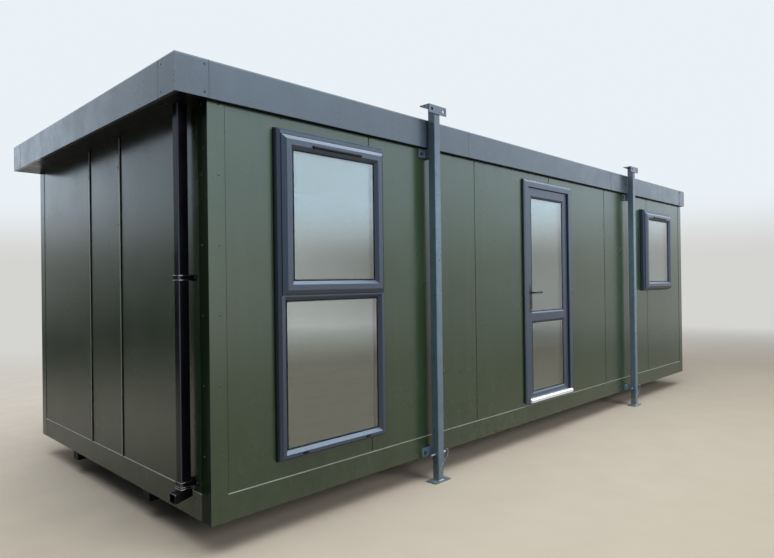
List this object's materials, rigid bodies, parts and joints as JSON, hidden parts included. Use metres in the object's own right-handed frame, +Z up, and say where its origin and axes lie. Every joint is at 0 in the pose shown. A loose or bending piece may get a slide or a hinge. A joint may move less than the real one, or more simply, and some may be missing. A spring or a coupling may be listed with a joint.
{
  "type": "portable site cabin",
  "caption": "Steel-clad portable site cabin with a flat roof and deep fascia, glazed door, windows, downpipe, and telescopic jack legs on its long walls.",
  "frame": {"origin": "on the ground, in the middle of the cabin's outline", "axes": "+X along the cabin from the downpipe end to the far end, +Y from the door side to the back, +Z up"},
  "size_m": [7.583, 3.241, 2.82],
  "materials": {
    "wall_cladding": "dark olive green, semi-gloss coated steel",
    "fascia": "slate grey coated steel",
    "frames": "anthracite blue-grey, satin",
    "jack_steel": "anthracite blue-grey paint, scuffed",
    "soffit": "dark, glossy",
    "downpipe": "black, glossy",
    "vent": "black, satin",
    "chassis": "black chassis paint, dusty",
    "deck": "plywood deck",
    "roof": "grey coated steel",
    "glass": "clear sealed unit",
    "threshold": "mill finish",
    "handle": "black, satin",
    "hinge": "zinc plated",
    "galvanised": "dull galvanised"
  },
  "bodies": {
    "cabin": {"front_wall_near": "wall_cladding", "front_wall_far": "wall_cladding", "front_wall_over_door": "wall_cladding", "front_wall_under_door": "wall_cladding", "back_wall": "wall_cladding", "near_end_wall": "wall_cladding", "far_end_wall": "wall_cladding", "corner_trims": "wall_cladding", "skirt_flashings": "wall_cladding", "floor_deck": "deck", "chassis_side_beams": "chassis", "chassis_cross_beams": "chassis", "chassis_runners": "chassis", "roof_deck": "deck", "roof_sheet": "roof", "fascia_front": "fascia", "fascia_back": "fascia", "fascia_near_end": "fascia", "fascia_far_end": "fascia", "fascia_corner_caps": "fascia", "soffit_near_end": "soffit", "roof_gutter": "galvanised", "downpipe": "downpipe", "downpipe_shoe": "downpipe", "downpipe_clips": "downpipe", "tall_window_frame": "frames", "tall_window_sash": "frames", "tall_window_glass": "glass", "small_window_frame": "frames", "small_window_sash": "frames", "small_window_glass": "glass", "trickle_vents": "vent", "door_frame": "frames", "door_threshold": "threshold", "door_hinges_frame": "hinge", "jack_posts": "jack_steel", "lifting_angles": "jack_steel", "jack_wall_brackets": "jack_steel"},
    "door": {"door_leaf": "frames", "door_glass": "glass", "door_hinges_leaf": "hinge", "door_lock_plates": "handle"},
    "door_handle": {"door_lever": "handle"},
    "leg_front_near": {"jack_leg_front_near": "jack_steel", "jack_pin_front_near": "galvanised"},
    "leg_front_far": {"jack_leg_front_far": "jack_steel", "jack_pin_front_far": "galvanised"},
    "leg_back_near": {"jack_leg_back_near": "jack_steel", "jack_pin_back_near": "galvanised"},
    "leg_back_far": {"jack_leg_back_far": "jack_steel", "jack_pin_back_far": "galvanised"}
  },
  "joints": [
    {"name": "door_hinge", "type": "hinge", "parent": "cabin", "child": "door", "pos_m": [0.4285, -1.445, 1.395], "axis": [0, 0, -1], "range_deg": [0, 90]},
    {"name": "door_lever_turn", "type": "hinge", "parent": "door", "child": "door_handle", "pos_m": [-0.308, -1.478, 1.384], "axis": [0, 1, 0], "range_deg": [0, 35], "stiffness_Nm_per_rad": 1, "springref_deg": -28.65},
    {"name": "leg_slide_front_near", "type": "slide", "parent": "cabin", "child": "leg_front_near", "axis": [0, 0, -1], "range_m": [0, 1.2]},
    {"name": "leg_slide_front_far", "type": "slide", "parent": "cabin", "child": "leg_front_far", "axis": [0, 0, -1], "range_m": [0, 1.2]},
    {"name": "leg_slide_back_near", "type": "slide", "parent": "cabin", "child": "leg_back_near", "axis": [0, 0, -1], "range_m": [0, 1.2]},
    {"name": "leg_slide_back_far", "type": "slide", "parent": "cabin", "child": "leg_back_far", "axis": [0, 0, -1], "range_m": [0, 1.2]}
  ]
}
